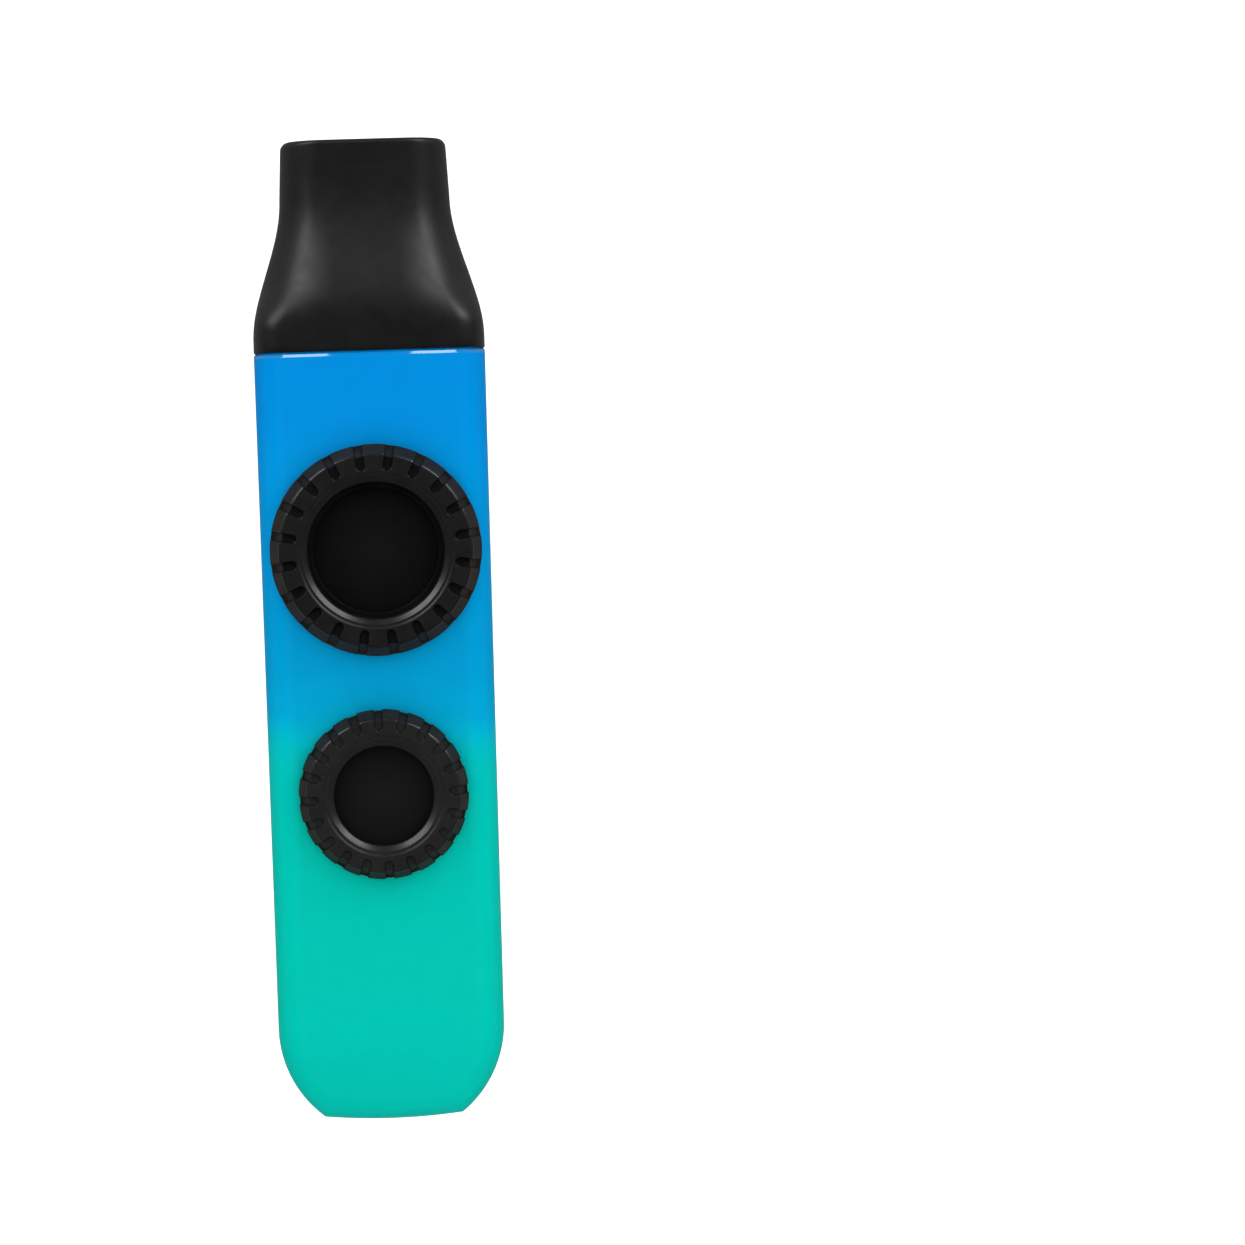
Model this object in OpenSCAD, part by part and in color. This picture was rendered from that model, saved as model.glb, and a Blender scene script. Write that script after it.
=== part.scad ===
// Flat plastic kazoo with a pull-off mouthpiece and two screwed resonators.
// It lies on its flat back: X is across, Y runs from the outlet end to the mouthpiece, and Z
// points out of the side with the two tone rings. The origin is in the middle of the back.

/* [Body] */
// Length of the body from the mouthpiece joint to the flat outlet end
body_l = 98; // [90:1:120]
// Width of the body at the mouthpiece joint
body_w = 29.4; // [28:0.1:34]
// Draft of each side of the body, in degrees, which narrows it towards its round end
side_draft = 0.2; // [0:0.05:0.6]
// Thickness of the body from back to front
body_t = 17.5; // [15:0.5:22]
// Wall of the body
body_wall = 2; // [1.6:0.1:2.4]
// Rounding along the outer edges of the body
body_edge_r = 3.8; // [3:0.1:5]
// Reach of the flat end beyond the centre of the round end
end_reach = 11.9; // [10:0.1:13]
// Radius of the slight crown across the flat end
end_crown_r = 80; // [65:1:120]
// Bevel round the open rim of the body
rim_bevel = 0.35; // [0.2:0.05:0.6]
// Width of the outlet slot in the flat end
outlet_w = 12; // [8:0.5:14]
// Height of the outlet slot
outlet_h = 6; // [5:0.5:8]

/* [Mouthpiece] */
// Length of the mouthpiece that shows
mouth_l = 27; // [24:0.5:34]
// Width at the lips
tip_w = 21.1; // [18:0.1:24]
// Thickness at the lips
tip_t = 9.4; // [8.4:0.1:10]
// Width where the flare ends and the straight lip part starts
waist_w = 21.8; // [19:0.1:25]
// Distance from the joint to the start of the flare
flare_start = 1.5; // [0.5:0.1:3]
// Distance from the joint to the end of the flare
flare_end = 19.5; // [15:0.5:22]
// Distance from the joint to where the front and back start to slope down to the lips
slope_start = 4.5; // [3:0.5:6]
// How early the slope is steepest: 2 is halfway along it, and more is nearer the joint
slope_bias = 3; // [2:0.2:3.6]
// Length of the even part behind the lips
lip_l = 3; // [2:0.5:5]
// Distance from the joint to where the section starts to round out
round_start = 3; // [2:0.5:4]
// Distance from the joint to where the section is roundest
round_peak = 9.5; // [9:0.5:11]
// Width of the rounding at the section's corners there
corner_flare_w = 4.6; // [4:0.1:5.4]
// Height of the rounding there
corner_flare_h = 4.6; // [4:0.1:5]
// Width of the rounding at the section's corners at the lips
corner_tip_w = 4.8; // [4:0.1:5.6]
// Half the width of the level middle of the front and back faces
level_half_w = 3.5; // [3:0.5:5]
// Corner radius of the air passage in the flare
passage_corner_r = 2.9; // [2.6:0.1:3.1]
// Rounding of the lips' corners, seen from the front
lip_r = 1.1; // [0.6:0.1:1.6]
// Rounding of the lips' front and back edges
lip_edge_r = 0.55; // [0.3:0.05:1]
// Wall of the mouthpiece
mouth_wall = 1.9; // [1.5:0.1:2]
// Depth of the spigot in the body
spigot_l = 12; // [9:0.5:14]
// Wall of the spigot
spigot_wall = 1.8; // [1.5:0.1:2.2]
// Distance from the spigot's end to the seal groove
seal_from_end = 3; // [2:0.5:5]
// Width of the seal
seal_w = 1.4; // [1:0.1:2]
// Depth of the seal groove
seal_groove = 0.7; // [0.5:0.1:0.9]

/* [Large resonator] */
// Distance of the large resonator from the mouthpiece joint
large_from_joint = 25.3; // [24.5:0.1:28]
// Radius of the large tone ring at its base
large_ring_r = 13.4; // [13.1:0.1:14]
// Radius of the large tone ring at its shoulder
large_shoulder_r = 12.2; // [12:0.05:12.9]
// Inner end of the grip slots
large_slot_r = 10.15; // [9.9:0.05:10.6]
// Radius of the fine step's foot on the top face
large_step_r = 9.65; // [9.55:0.05:9.85]
// Outer radius of the sloped lip
large_lip_r = 9.5; // [9.2:0.05:9.55]
// Radius of the opening over the membrane
large_opening_r = 8.6; // [8.2:0.05:8.7]
// Inner radius of the hoop that holds the film flat
large_hoop_r = 7.85; // [7.6:0.05:8.6]
// Radius of the collar's neck under its thread
large_neck_r = 11; // [10.8:0.1:11.2]
// Radius of the collar's bore
large_bore_r = 8.6; // [8.5:0.1:9]
// Turn of the grip slots from the kazoo's long axis, in degrees
large_slot_turn = -9.4; // [-18:0.2:18]

/* [Small resonator] */
// Distance of the small resonator from the mouthpiece joint
small_from_joint = 56.2; // [54:0.1:62]
// Radius of the small tone ring at its base
small_ring_r = 10.75; // [10.4:0.05:11.2]
// Radius of the small tone ring at its shoulder
small_shoulder_r = 9.75; // [9.6:0.05:10.1]
// Inner end of the grip slots
small_slot_r = 8.25; // [8:0.05:8.5]
// Radius of the fine step's foot on the top face
small_step_r = 7.4; // [7.25:0.05:7.8]
// Outer radius of the sloped lip
small_lip_r = 7.2; // [6.9:0.05:7.3]
// Radius of the opening over the membrane
small_opening_r = 6.25; // [5.9:0.05:6.4]
// Inner radius of the hoop that holds the film flat
small_hoop_r = 6.5; // [6.2:0.05:6.6]
// Radius of the collar's neck under its thread
small_neck_r = 8.3; // [8.1:0.1:8.5]
// Radius of the collar's bore
small_bore_r = 6.5; // [6.4:0.1:6.7]
// Turn of the grip slots from the kazoo's long axis, in degrees
small_slot_turn = 2.4; // [-18:0.2:18]

/* [Resonator stack] */
// Thickness of the collar's flange on the body
flange_h = 0.8; // [0.6:0.1:1.2]
// Height of the collar's neck over the body
neck_h = 3.2; // [3:0.1:4]
// Wall of the collar where it passes through the body
collar_wall = 1.2; // [1:0.1:1.4]
// Reach of the collar beyond the inside of the body wall
collar_reach = 0.6; // [0.3:0.1:1]
// Thickness of the gasket on the collar
gasket_t = 0.4; // [0.3:0.05:0.6]
// Thickness of the membrane film
membrane_t = 0.1; // [0.08:0.01:0.2]
// Thickness of the hoop that holds the film flat
hoop_t = 0.6; // [0.4:0.1:1]
// Thickness of the slip washer under the ring
washer_t = 0.3; // [0.2:0.05:0.5]
// Thickness of the tone ring's top
cap_t = 1.2; // [1.1:0.1:1.6]
// Rounding of the tone ring's shoulder
shoulder_round = 0.5; // [0.3:0.05:0.7]
// Depth of the fine step on the top face
step_depth = 0.15; // [0.1:0.01:0.2]
// Slope of the lip, in degrees from the top face
lip_slope = 30; // [20:1:34]
// Rounding above and below the lip's slope
lip_round = 0.4; // [0.25:0.05:0.45]
// Height of the plain band under the grip slots
band_h = 1.4; // [0.8:0.1:2]
// Number of grip slots round a tone ring
slot_count = 20; // [12:1:24]
// Width of a grip slot
slot_w = 1.1; // [0.8:0.1:1.6]
// Depth of a grip slot
slot_depth = 0.45; // [0.3:0.05:0.5]

/* [Thread] */
// Pitch of the right-hand thread
pitch = 1.5; // [1.4:0.05:1.6]
// Height of the thread over the neck
thread_h = 0.4; // [0.3:0.05:0.45]
// Width of the thread at its root
thread_root_w = 0.75; // [0.7:0.01:0.8]
// Width of the thread at its crest
thread_crest_w = 0.4; // [0.35:0.01:0.45]
// Turns of thread on the collar
collar_turns = 1; // [0.8:0.05:1.1]
// Turns of thread in the tone ring
ring_turns = 1.4; // [1:0.05:1.5]

/* [Fits] */
// Gap round the mouthpiece's spigot in the body
spigot_clearance = 0.15; // [0.1:0.01:0.2]
// Gap round the seal in the body
seal_clearance = 0.03; // [0.02:0.01:0.05]
// Gap round the collar in the body's hole
collar_clearance = 0.05; // [0.03:0.01:0.1]
// Gap between the two threads
thread_clearance = 0.12; // [0.1:0.01:0.15]
// Gap between the tone ring's skirt and the collar's flange
skirt_clearance = 0.12; // [0.1:0.01:0.2]
// How far the gasket, film, hoop and washer stay inside the neck's radius
stack_inset = 0.3; // [0.2:0.05:0.5]
// How far the collar's flange stays inside the tone ring's base
flange_inset = 0.25; // [0.1:0.05:0.4]

/* [Hidden] */

// Colours
body_colour = [0.02, 0.62, 0.8];
black_colour = [0.12, 0.12, 0.12];
seal_colour = [0.35, 0.35, 0.37];
film_colour = [0.2, 0.2, 0.22];

// One overrun serves every cut, and round shapes are drawn with this many sides.
overrun = 0.5;
$fn = 96;

// Places along the kazoo
total_l = body_l + mouth_l;
joint_y = total_l / 2 - mouth_l;
end_y = -total_l / 2;
round_y = end_y + end_reach;
straight_l = joint_y - round_y;
end_r = body_w / 2 - straight_l * tan(side_draft);
mid_z = body_t / 2;

// The two resonators, large first
LARGE = 0;
SMALL = 1;
from_joint = [large_from_joint, small_from_joint];
ring_r = [large_ring_r, small_ring_r];
shoulder_r = [large_shoulder_r, small_shoulder_r];
slot_r = [large_slot_r, small_slot_r];
step_r = [large_step_r, small_step_r];
ring_lip_r = [large_lip_r, small_lip_r];
opening_r = [large_opening_r, small_opening_r];
hoop_r = [large_hoop_r, small_hoop_r];
neck_r = [large_neck_r, small_neck_r];
bore_r = [large_bore_r, small_bore_r];
slot_turn = [large_slot_turn, small_slot_turn];

function collar_r(i) = bore_r[i] + collar_wall;
function flange_r(i) = ring_r[i] - flange_inset;
function stack_r(i) = neck_r[i] - stack_inset;
function thread_r(i) = neck_r[i] + thread_h;

// Heights over the front of the body
gasket_z = neck_h;
membrane_z = gasket_z + gasket_t;
hoop_z = membrane_z + membrane_t;
washer_z = hoop_z + hoop_t;
cap_z = washer_z + washer_t;
ring_top_z = cap_z + cap_t;
skirt_z = flange_h + skirt_clearance;
band_z = skirt_z + band_h;

// Points of an arc from angle a to angle b, in n steps
function arc(centre, r, a, b, n) =
    [for (k = [0:n]) centre + r * [cos(a + (b - a) * k / n), sin(a + (b - a) * k / n)]];

// Rounded rectangle in its own plane, centred, with true round corners
module rounded_section(w, t, r) {
    square([w, t - 2 * r], center = true);
    square([w - 2 * r, t], center = true);
    for (x = [-1, 1], y = [-1, 1])
        translate([x * (w / 2 - r), y * (t / 2 - r)])
            circle(r);
}

// A straight run of rounded section along Y, from y to y + run
module section_run(y, run, w, t, r) {
    translate([0, y + run, 0])
        rotate([90, 0, 0])
            linear_extrude(run)
                rounded_section(w, t, r);
}

// Half of the body's section, from the middle plane out to a rounded edge
module half_section(half_w, t, r, lap) {
    translate([-lap, -t / 2])
        square([half_w - r + lap, t]);
    translate([-lap, r - t / 2])
        square([half_w + lap, t - 2 * r]);
    for (y = [-1, 1])
        translate([half_w - r, y * (t / 2 - r)])
            circle(r);
}

// One straight side of a body form: half a section, turned outward by the draft
module side_form(r, t, edge, run) {
    rotate([0, 0, -side_draft])
        translate([0, run, 0])
            rotate([90, 0, 0])
                linear_extrude(run)
                    half_section(r, t, edge, body_wall);
}

// A body form: two drafted sides and a half-round end, before its ends are cut
module body_form(r, t, edge, run) {
    side_form(r, t, edge, run);
    mirror([1, 0, 0])
        side_form(r, t, edge, run);
    rotate([0, 0, 180 - side_draft])
        rotate_extrude(angle = 180 + 2 * side_draft)
            half_section(r, t, edge, 0);
}

// A wide disc with a rounded rim, which gives the flat end its crown and its rounded edges
module end_disc(reach, t, edge, crown) {
    translate([0, crown - reach, 0])
        rotate_extrude()
            half_section(crown, t, edge, 0);
}

module outer_form() {
    translate([0, round_y, mid_z])
        difference() {
            intersection() {
                body_form(end_r, body_t, body_edge_r, straight_l + 2 * overrun);
                end_disc(end_reach, body_t, body_edge_r, end_crown_r);
            }
            translate([-body_w, straight_l, -body_t])
                cube([2 * body_w, body_w, 2 * body_t]);
        }
}

cavity_r = end_r - body_wall;
cavity_t = body_t - 2 * body_wall;
cavity_edge_r = body_edge_r - body_wall;
cavity_reach = end_reach - body_wall;

module cavity_form() {
    translate([0, round_y, mid_z])
        intersection() {
            body_form(cavity_r, cavity_t, cavity_edge_r, straight_l + 2 * overrun);
            translate([-body_w, -cavity_reach, -body_t])
                cube([2 * body_w, straight_l + cavity_reach + overrun, 2 * body_t]);
        }
}

// Places what follows on the front of the body, on the axis of resonator i
module at_resonator(i) {
    translate([0, joint_y - from_joint[i], body_t])
        children();
}

// Flat round seat under a collar, which fills in the body's rounded edges there
module seat(i) {
    at_resonator(i)
        translate([0, 0, -body_wall])
            cylinder(r = flange_r(i), h = body_wall);
}

// What the bevel takes off the open rim: the space outside a frustum that narrows to the joint
bevel_fn = 32;

module rim_slice(y, grow) {
    section_run(y, rim_bevel / 10, body_w + 2 * grow, body_t + 2 * grow, body_edge_r + grow);
}

module rim_cut() {
    translate([0, joint_y, mid_z])
        difference() {
            section_run(-2 * rim_bevel, 3 * rim_bevel, body_w + 2 * overrun, body_t + 2 * overrun,
                body_edge_r);
            hull() {
                rim_slice(-3 * rim_bevel, 2 * rim_bevel, $fn = bevel_fn);
                rim_slice(rim_bevel, -2 * rim_bevel, $fn = bevel_fn);
            }
        }
}

module outlet() {
    translate([0, end_y + body_wall + overrun, mid_z])
        rotate([90, 0, 0])
            linear_extrude(body_wall + 2 * overrun) {
                square([outlet_w - outlet_h, outlet_h], center = true);
                for (x = [-1, 1])
                    translate([x * (outlet_w - outlet_h) / 2, 0])
                        circle(outlet_h / 2);
            }
}

module body_shell() {
    color(body_colour)
        difference() {
            union() {
                outer_form();
                seat(LARGE);
                seat(SMALL);
            }
            cavity_form();
            for (i = [LARGE, SMALL])
                at_resonator(i)
                    translate([0, 0, -body_wall - overrun])
                        cylinder(r = collar_r(i) + collar_clearance, h = body_wall + 2 * overrun);
            outlet();
            rim_cut();
        }
}

// Mouthpiece
// It is lofted from rounded rectangles whose size follows a smooth flare. Their front and back
// faces are crowned: level in the middle and falling off to the sides.
loft_corner_steps = 8;
loft_face_steps = 8;
flare_rings = 14;
tip_rings = 3;
lip_rings = 6;

function smooth(s) = s * s * (3 - 2 * s);
function clamp01(s) = min(1, max(0, s));
function mix(a, b, s) = a + (b - a) * s;

// How far along the flare a place is, from 0 at the base to 1 at the waist
function flare(y) = smooth(clamp01((y - flare_start) / (flare_end - flare_start)));
// How far along the straight lip part a place is, from 0 at the waist to 1 at the lips
function reach_to_tip(y) = clamp01((y - flare_end) / (mouth_l - flare_end));

// How far down from the joint to the lips the front and back are: level at both ends
function slope_drop(y) =
    let (s = clamp01((y - slope_start) / (mouth_l - lip_l - slope_start)))
    1 - pow(1 - s, slope_bias) * (1 + slope_bias * s);
// How far the section has rounded out, from 0 at the joint to 1 where it is roundest
function rounding(y) = smooth(clamp01((y - round_start) / (round_peak - round_start)));

// Runs from one value at the joint to another where the section is roundest and to a third at
// the lips
corner_fall = 2;
function along_flare(y, at_joint, at_peak, at_tip) =
    mix(at_joint, at_peak, rounding(y))
    + (at_tip - at_peak) * smooth(clamp01((y - round_peak) / (flare_end + corner_fall - round_peak)));

// The crown's depth at the sides in the flare and at the lips, in shares of half the thickness,
// and the places between which it runs from one to the other, in shares of the visible length
crown_shares = [0.38, 0.2];
crown_fall_shares = [0.52, 0.81];
function between(y, from, to) = smooth(clamp01((y - from) / (to - from)));
function crown(y) =
    crown_shares[0] * rounding(y)
    + (crown_shares[1] - crown_shares[0])
    * between(y, crown_fall_shares[0] * mouth_l, crown_fall_shares[1] * mouth_l);

// Width, thickness and corner rounding of the outside at a distance y from the joint
function mouth_w(y) =
    y < flare_end ? mix(body_w, waist_w, flare(y)) : mix(waist_w, tip_w, reach_to_tip(y));
function mouth_t(y) = mix(body_t, tip_t, slope_drop(y));
function mouth_corner_w(y) = along_flare(y, body_edge_r, corner_flare_w, corner_tip_w);
function mouth_corner_h(y) =
    min(mouth_t(y) / 2 - lip_edge_r / 2, along_flare(y, body_edge_r, corner_flare_h, corner_flare_h));

// How much a rounding r at the lips draws the section in at a distance y from the joint
function lip_inset(y, r) =
    let (over = max(0, y - (mouth_l - r)))
    r - sqrt(max(0, r * r - over * over));

// Places of the loft's rings along the outside
outside_ys = concat(
    [0],
    [for (k = [0:flare_rings]) mix(flare_start, flare_end, k / flare_rings)],
    [for (k = [1:tip_rings - 1]) mix(flare_end, mouth_l - lip_r, k / tip_rings)],
    [for (k = [0:lip_rings]) mouth_l - lip_r + lip_r * sin(90 * k / lip_rings)]
);

// A corner of a loft's ring as a quarter ellipse round c, from the angle from
function loft_corner(c, rw, rh, from) =
    [for (k = [0:loft_corner_steps])
        let (a = from + 90 * k / loft_corner_steps)
        [c[0] + rw * cos(a), c[1] + rh * sin(a)]];
// The points between the ends of a face of a loft's ring
function loft_face(x, z) =
    [for (k = [1:loft_face_steps - 1]) [mix(x, -x, k / loft_face_steps), z]];

// One ring of points: a rectangle of width w and thickness t at y, with its corners rounded by
// quarter ellipses of width rw and height rh and its front and back crowned by a share of t
function loft_ring(y, w, t, rw, rh, share) =
    let (
        x = w / 2 - rw,
        z = t / 2 - rh,
        outline = concat(
            loft_corner([x, z], rw, rh, 0),
            loft_face(x, t / 2),
            loft_corner([-x, z], rw, rh, 90),
            loft_corner([-x, -z], rw, rh, 180),
            loft_face(-x, -t / 2),
            loft_corner([x, -z], rw, rh, 270)
        )
    )
    [for (p = outline)
        let (out = clamp01((abs(p[0]) - level_half_w) / (mouth_w(y) / 2 - level_half_w)))
        [p[0], y, p[1] * (1 - share * out * out)]];

// A closed skin over rings of points, with flat ends
module loft(rings) {
    n = len(rings[0]);
    m = len(rings);
    polyhedron(
        points = [for (ring = rings, p = ring) p],
        faces = concat(
            [[for (k = [n - 1:-1:0]) k]],
            [for (j = [0:m - 2], k = [0:n - 1])
                [(j + 1) * n + (k + 1) % n, (j + 1) * n + k, j * n + k]],
            [for (j = [0:m - 2], k = [0:n - 1])
                [j * n + (k + 1) % n, (j + 1) * n + (k + 1) % n, j * n + k]],
            [[for (k = [0:n - 1]) (m - 1) * n + k]]
        )
    );
}

module mouth_outside() {
    loft([for (y = outside_ys)
        let (d = lip_inset(y, lip_r), e = lip_inset(y, lip_edge_r))
        loft_ring(y, mouth_w(y) - 2 * d, mouth_t(y) - 2 * e,
            mouth_corner_w(y) - d, mouth_corner_h(y) - e, crown(y))]);
}

// Size of the spigot: it fits the body's cavity at the depth that its end reaches
spigot_w = 2 * (cavity_r + (straight_l - spigot_l) * tan(side_draft) - spigot_clearance);
spigot_t = cavity_t - 2 * spigot_clearance;
spigot_corner = cavity_edge_r - spigot_clearance;
bore_corner = max(spigot_corner - spigot_wall, spigot_wall / 4);
// The spigot overlaps the flared part by this much
spigot_root = mouth_wall / 2;

// Width, thickness and corner radius of the air passage at a distance y from the joint
function passage_w(y) =
    y <= 0 ? spigot_w - 2 * spigot_wall
           : mix(spigot_w - 2 * spigot_wall, mouth_w(y) - 2 * mouth_wall, clamp01(y / flare_end));
function passage_t(y) =
    y <= 0 ? spigot_t - 2 * spigot_wall
           : min(spigot_t - 2 * spigot_wall, mouth_t(y) - 2 * mouth_wall);
tip_round_share = 0.9;
tip_corner = (tip_t / 2 - mouth_wall) * tip_round_share;
// The corners open out between these shares of the flare, and close in again to the lips
passage_round_shares = [0.39, 0.54];
// The passage takes on the outside's crown between these shares of the flare
passage_crown_shares = [0.48, 0.58];
function passage_corner(y) =
    let (
        from = passage_round_shares[0] * flare_end,
        to = passage_round_shares[1] * flare_end
    )
    mix(bore_corner, passage_corner_r, between(y, from, to))
    + (tip_corner - passage_corner_r) * between(y, to, flare_end);
function passage_crown(y) =
    crown(y) * between(y, passage_crown_shares[0] * flare_end, passage_crown_shares[1] * flare_end);
passage_ys = concat(
    [-spigot_l - overrun, 0],
    [for (k = [0:flare_rings]) mix(flare_start, flare_end, k / flare_rings)],
    [for (k = [1:tip_rings - 1]) mix(flare_end, mouth_l - lip_r, k / tip_rings)],
    [mouth_l + overrun]
);

module mouth_passage() {
    loft([for (y = passage_ys)
        let (at = min(y, mouth_l), r = passage_corner(at))
        loft_ring(y, passage_w(at), passage_t(at), r, r, passage_crown(at))]);
}

seal_y = -spigot_l + seal_from_end;
groove_w = spigot_w - 2 * seal_groove;
groove_t = spigot_t - 2 * seal_groove;
groove_corner = spigot_corner - seal_groove;

module mouthpiece() {
    color(black_colour)
        translate([0, joint_y, mid_z])
            difference() {
                union() {
                    mouth_outside();
                    section_run(-spigot_l, spigot_l + spigot_root, spigot_w, spigot_t, spigot_corner);
                }
                mouth_passage();
                difference() {
                    section_run(seal_y, seal_w, 2 * spigot_w, 2 * spigot_t, spigot_corner);
                    section_run(seal_y - overrun, seal_w + 2 * overrun, groove_w, groove_t, groove_corner);
                }
            }
}

// Flat silicone band in the spigot's groove
seal_grow = spigot_clearance - seal_clearance;

module mouthpiece_seal() {
    color(seal_colour)
        translate([0, joint_y, mid_z])
            difference() {
                section_run(seal_y, seal_w, spigot_w + 2 * seal_grow, spigot_t + 2 * seal_grow,
                    spigot_corner + seal_grow);
                section_run(seal_y - overrun, seal_w + 2 * overrun, groove_w, groove_t, groove_corner);
            }
}

// Thread
// A rib swept along a right-hand helix. It reaches from radius root_r to radius crest_r,
// and fades in and out at its ends.
thread_steps = 36;
fade_share = 0.12;
fade_low_share = 0.3;

function fade(s) = clamp01(min(s, 1 - s) / fade_share);

module thread_rib(root_r, crest_r, root_w, crest_w, z, turns) {
    steps = ceil(turns * thread_steps);
    points = [for (k = [0:steps])
        let (
            s = k / steps,
            a = 360 * turns * s,
            mid = z + pitch * turns * s,
            crest = mix(root_r, crest_r, mix(fade_low_share, 1, fade(s))),
            corners = [
                [root_r, mid - root_w / 2], [crest, mid - crest_w / 2],
                [crest, mid + crest_w / 2], [root_r, mid + root_w / 2]
            ]
        )
        for (c = corners) [c[0] * cos(a), c[0] * sin(a), c[1]]];
    outward = crest_r > root_r;
    sides = concat(
        [for (k = [0:steps - 1], j = [0:3])
            [4 * k + j, 4 * k + (j + 1) % 4, 4 * (k + 1) + (j + 1) % 4]],
        [for (k = [0:steps - 1], j = [0:3])
            [4 * k + j, 4 * (k + 1) + (j + 1) % 4, 4 * (k + 1) + j]]
    );
    caps = [[3, 2, 1, 0], [4 * steps, 4 * steps + 1, 4 * steps + 2, 4 * steps + 3]];
    faces = concat(sides, caps);
    polyhedron(points = points, faces = outward ? faces : [for (f = faces) [for (k = [len(f) - 1:-1:0]) f[k]]]);
}

// Collar: a flange on the body, a tube through its wall and a threaded neck
thread_bury = 0.2;
collar_thread_z = flange_h + thread_root_w / 2 + thread_clearance;
edge_bevel = 0.15;

module collar(i) {
    color(black_colour)
        at_resonator(i) {
            rotate_extrude()
                polygon([
                    [bore_r[i], -body_wall - collar_reach],
                    [collar_r(i) - edge_bevel, -body_wall - collar_reach],
                    [collar_r(i), edge_bevel - body_wall - collar_reach],
                    [collar_r(i), 0],
                    [flange_r(i), 0],
                    [flange_r(i), flange_h - edge_bevel],
                    [flange_r(i) - edge_bevel, flange_h],
                    [neck_r[i], flange_h],
                    [neck_r[i], neck_h - edge_bevel],
                    [neck_r[i] - edge_bevel, neck_h],
                    [bore_r[i], neck_h]
                ]);
            thread_rib(neck_r[i] - thread_bury, thread_r(i), thread_root_w, thread_crest_w,
                collar_thread_z, collar_turns);
        }
}

// A flat ring of the stack between the collar and the tone ring
module stack_ring(i, z, t, inner_r) {
    at_resonator(i)
        translate([0, 0, z])
            rotate_extrude()
                translate([inner_r, 0])
                    square([stack_r(i) - inner_r, t]);
}

module gasket(i) {
    color(seal_colour)
        stack_ring(i, gasket_z, gasket_t, bore_r[i]);
}

module membrane(i) {
    color(film_colour)
        at_resonator(i)
            translate([0, 0, membrane_z])
                cylinder(r = stack_r(i), h = membrane_t);
}

module hoop(i) {
    color(black_colour)
        at_resonator(i)
            rotate_extrude()
                polygon([
                    [hoop_r[i], hoop_z],
                    [stack_r(i), hoop_z],
                    [stack_r(i), washer_z],
                    [hoop_r[i] + edge_bevel, washer_z],
                    [hoop_r[i], washer_z - edge_bevel]
                ]);
}

module washer(i) {
    color(seal_colour)
        stack_ring(i, washer_z, washer_t, bore_r[i]);
}

// Tone ring
shoulder_steps = 6;
lip_steps = 6;

// Outside of a tone ring, from a height up the leaning wall and round the shoulder to the top
// face, all moved in by inset
function ring_outside(i, from_z, inset) =
    let (
        lean = atan((ring_r[i] - shoulder_r[i]) / (ring_top_z - band_z)),
        wall = ring_r[i] * cos(lean) + band_z * sin(lean) - inset,
        top = ring_top_z - inset,
        f = shoulder_round,
        centre = [(wall - f - (top - f) * sin(lean)) / cos(lean), top - f]
    )
    concat(
        [[(wall - from_z * sin(lean)) / cos(lean), from_z]],
        arc(centre, f, lean, 90, shoulder_steps)
    );

// Lip round the opening: a straight slope, rounded above and below
function ring_lip(i) =
    let (
        f = lip_round,
        run = ring_lip_r[i] - opening_r[i] - f,
        z = ring_top_z - step_depth - f
    )
    concat(
        arc([ring_lip_r[i], z], f, 90, 90 + lip_slope, lip_steps),
        arc([opening_r[i] + f, z - run * tan(lip_slope)], f, 90 + lip_slope, 180, lip_steps)
    );

module ring_profile(i) {
    bore = thread_r(i) + thread_clearance;
    polygon(concat(
        [[bore, skirt_z], [ring_r[i], skirt_z]],
        ring_outside(i, band_z, 0),
        [[step_r[i] + step_depth / tan(lip_slope), ring_top_z], [step_r[i], ring_top_z - step_depth]],
        ring_lip(i),
        [[opening_r[i], cap_z], [bore, cap_z]]
    ));
}

// Plan of one grip slot: a bar with a blunt arch at its inner end
slot_arch_shares = [[0, 0.3], [0.12, 0.7], [0.35, 0.95], [0.6, 1]];

module slot_plan(i) {
    half = slot_w / 2;
    side = [for (p = slot_arch_shares) [slot_r[i] + p[0] * slot_w, p[1] * half]];
    out = ring_r[i] + overrun;
    polygon(concat(
        side,
        [[out, half], [out, -half]],
        [for (k = [len(side) - 1:-1:0]) [side[k][0], -side[k][1]]]
    ));
}

module slots(i) {
    for (k = [0:slot_count - 1])
        rotate([0, 0, 90 + slot_turn[i] + 360 * k / slot_count])
            translate([0, 0, band_z])
                linear_extrude(ring_top_z - band_z + overrun)
                    slot_plan(i);
}

module tone_ring(i) {
    // The rib in the ring lies in the middle of the collar's thread groove
    rib_z = collar_thread_z + pitch / 2;
    rib_crest_w = pitch - thread_root_w - thread_clearance;
    color(black_colour)
        at_resonator(i) {
            difference() {
                rotate_extrude()
                    ring_profile(i);
                difference() {
                    slots(i);
                    rotate_extrude()
                        polygon(concat(
                            [[0, band_z - overrun]],
                            ring_outside(i, band_z - overrun, slot_depth),
                            [[0, ring_top_z - slot_depth]]
                        ));
                }
            }
            thread_rib(thread_r(i) + thread_clearance + thread_bury, neck_r[i] + thread_clearance,
                rib_crest_w + thread_root_w - thread_crest_w, rib_crest_w, rib_z, ring_turns);
        }
}

body_shell();
mouthpiece();
mouthpiece_seal();
collar(LARGE);  // large_collar
gasket(LARGE);  // large_gasket
membrane(LARGE);  // large_membrane
hoop(LARGE);  // large_hoop
washer(LARGE);  // large_washer
tone_ring(LARGE);  // large_tone_ring
collar(SMALL);  // small_collar
gasket(SMALL);  // small_gasket
membrane(SMALL);  // small_membrane
hoop(SMALL);  // small_hoop
washer(SMALL);  // small_washer
tone_ring(SMALL);  // small_tone_ring
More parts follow.
